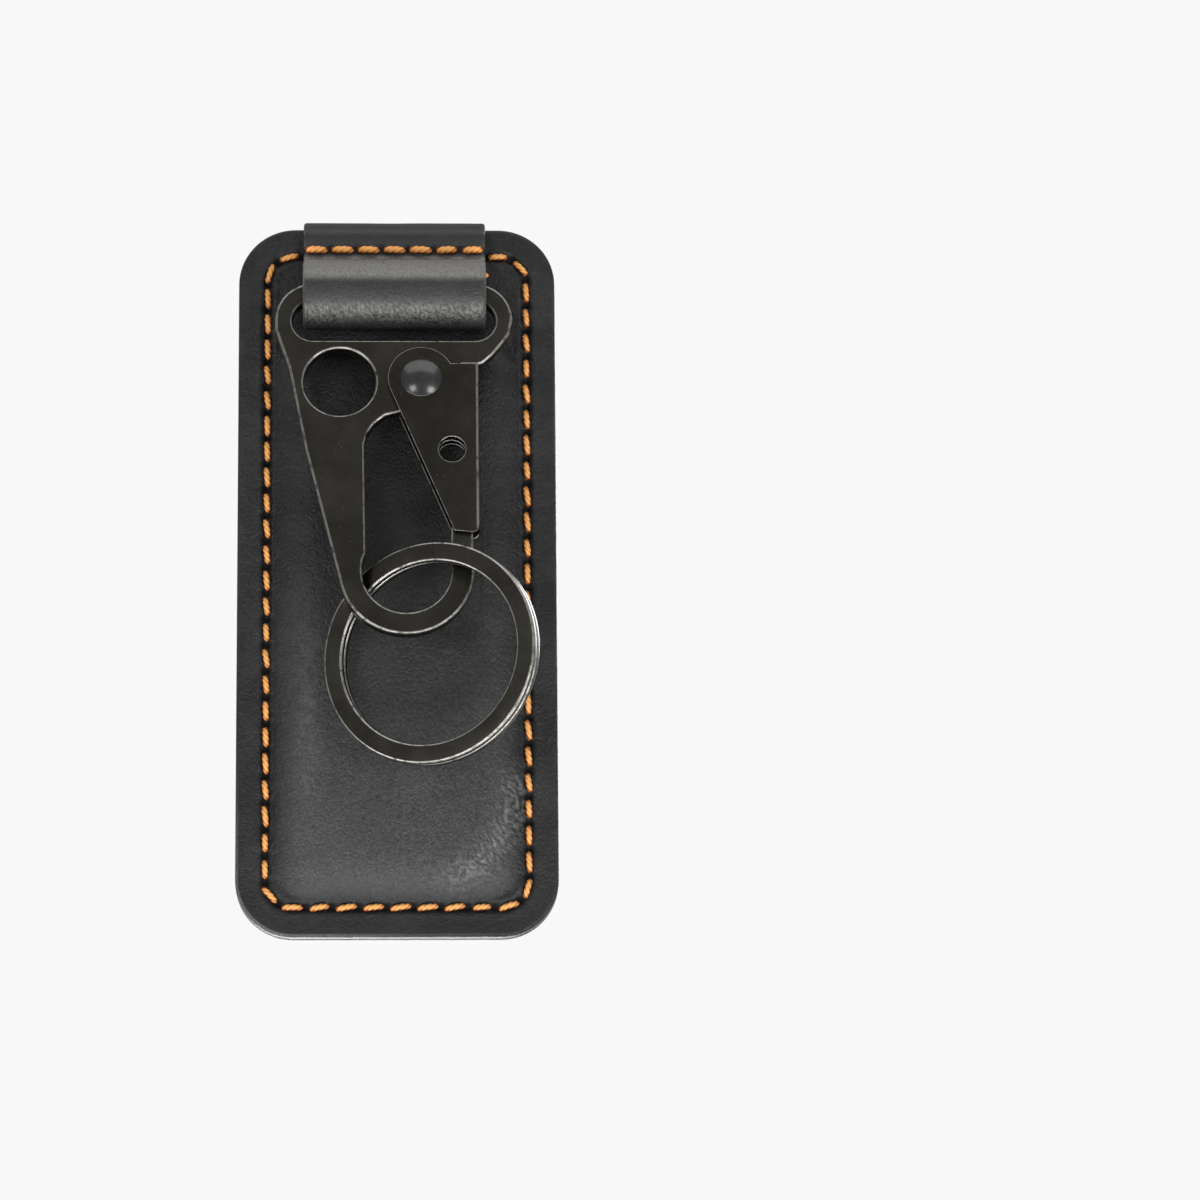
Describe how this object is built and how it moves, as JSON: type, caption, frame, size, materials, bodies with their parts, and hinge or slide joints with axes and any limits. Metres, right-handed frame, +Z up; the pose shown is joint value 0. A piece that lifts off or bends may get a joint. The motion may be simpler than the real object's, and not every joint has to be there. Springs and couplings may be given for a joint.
{
  "type": "belt key clip",
  "caption": "Padded leather belt key clip: folded steel clip behind a stitched panel, a leather loop with a flat sprung-gate hook, and a split ring in its eye.",
  "frame": {"origin": "the belt's seat: the panel's middle in X, the back leather's outer face in Y, the inside of the steel clip's fold in Z", "axes": "+Z up the panel, towards its top edge; the padded front, with the hook, faces -Y; +X to the right as seen from the front"},
  "size_m": [0.05, 0.0318, 0.1149],
  "materials": {
    "panel_leather": "black grain leather with a satin top coat and painted edges",
    "lining_leather": "black leather, finely pebbled, satin",
    "strap_leather": "black grain leather with a satin top coat",
    "foam": "dark open foam rubber, matt",
    "leatherboard": "pressed leatherboard, matt",
    "blued_spring_steel": "dark blued spring steel, satin",
    "black_rivet_steel": "black oxide, satin",
    "zinc_washer_steel": "zinc plated, satin",
    "gunmetal_plate": "dark gunmetal plating, polished over tumbled steel",
    "gunmetal_sheet": "dark gunmetal plating, polished",
    "polished_rivet_steel": "polished, slightly dark",
    "spring_wire": "bright drawn wire",
    "gunmetal_ring": "dark gunmetal plating, polished",
    "orange_thread": "thick waxed orange thread, twisted",
    "dark_thread": "waxed black thread"
  },
  "bodies": {
    "holder": {"front_panel": "panel_leather", "back_panel": "lining_leather", "foam_pad": "foam", "stiffener_board": "leatherboard", "strap_loop": "strap_leather", "belt_clip": "blued_spring_steel", "clip_rivets": "black_rivet_steel", "clip_rivet_washers": "zinc_washer_steel", "needle_thread": "orange_thread", "tack_thread": "orange_thread", "bobbin_thread": "dark_thread"},
    "hook": {"hook_plate": "gunmetal_plate", "gate_rivet": "polished_rivet_steel"},
    "latch": {"gate": "gunmetal_sheet", "gate_spring": "spring_wire"},
    "ring": {"key_ring": "gunmetal_ring"}
  },
  "joints": [
    {"name": "hook_swing", "type": "hinge", "parent": "holder", "child": "hook", "pos_m": [0.00145, -0.0103, -0.0006], "axis": [-1, 0, 0], "range_deg": [0, 170]},
    {"name": "gate_open", "type": "hinge", "parent": "hook", "child": "latch", "pos_m": [0.00375, -0.01204, -0.0154], "axis": [0, 0.9932, -0.1167], "range_deg": [0, 22], "stiffness_Nm_per_rad": 0.03, "springref_deg": -17.19, "deforming": ["gate_spring"]},
    {"name": "ring_swing", "type": "hinge", "parent": "hook", "child": "ring", "pos_m": [0.00145, -0.01575, -0.04698], "axis": [0, -0.9932, 0.1167], "range_deg": [-45, 4]}
  ]
}
